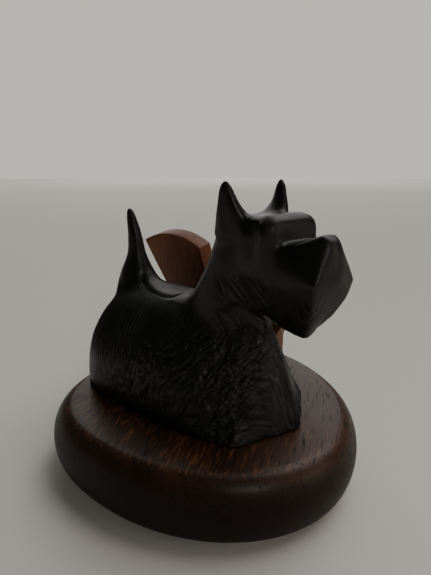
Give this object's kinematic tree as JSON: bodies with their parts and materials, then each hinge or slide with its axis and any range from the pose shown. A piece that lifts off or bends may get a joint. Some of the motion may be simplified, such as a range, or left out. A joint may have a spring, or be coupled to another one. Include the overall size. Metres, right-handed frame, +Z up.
{
  "type": "dog figurine",
  "caption": "Stylised black terrier figure standing on a thick pebble-shaped wooden base, with a notched wooden rest board behind it.",
  "frame": {"origin": "middle of the felt pad's underside, on the surface the object stands on", "axes": "+X the way the dog faces, +Y the dog's left, +Z up"},
  "size_m": [0.1525, 0.133, 0.1321],
  "materials": {
    "black_figure": "satin black, tooled fur, smooth head",
    "dark_wood": "dark stained open grain, waxed",
    "board_wood": "red-brown stain, waxed",
    "brass": "dull polished",
    "felt": "dark felt",
    "steel": "plain"
  },
  "bodies": {
    "root": {"dog_figure": "black_figure", "base": "dark_wood", "rest_board": "board_wood", "brass_strip_front": "brass", "brass_strip_rear": "brass", "felt_pad": "felt", "dog_screw_front": "steel", "dog_screw_rear": "steel", "board_screw_front": "steel", "board_screw_rear": "steel"}
  },
  "joints": []
}
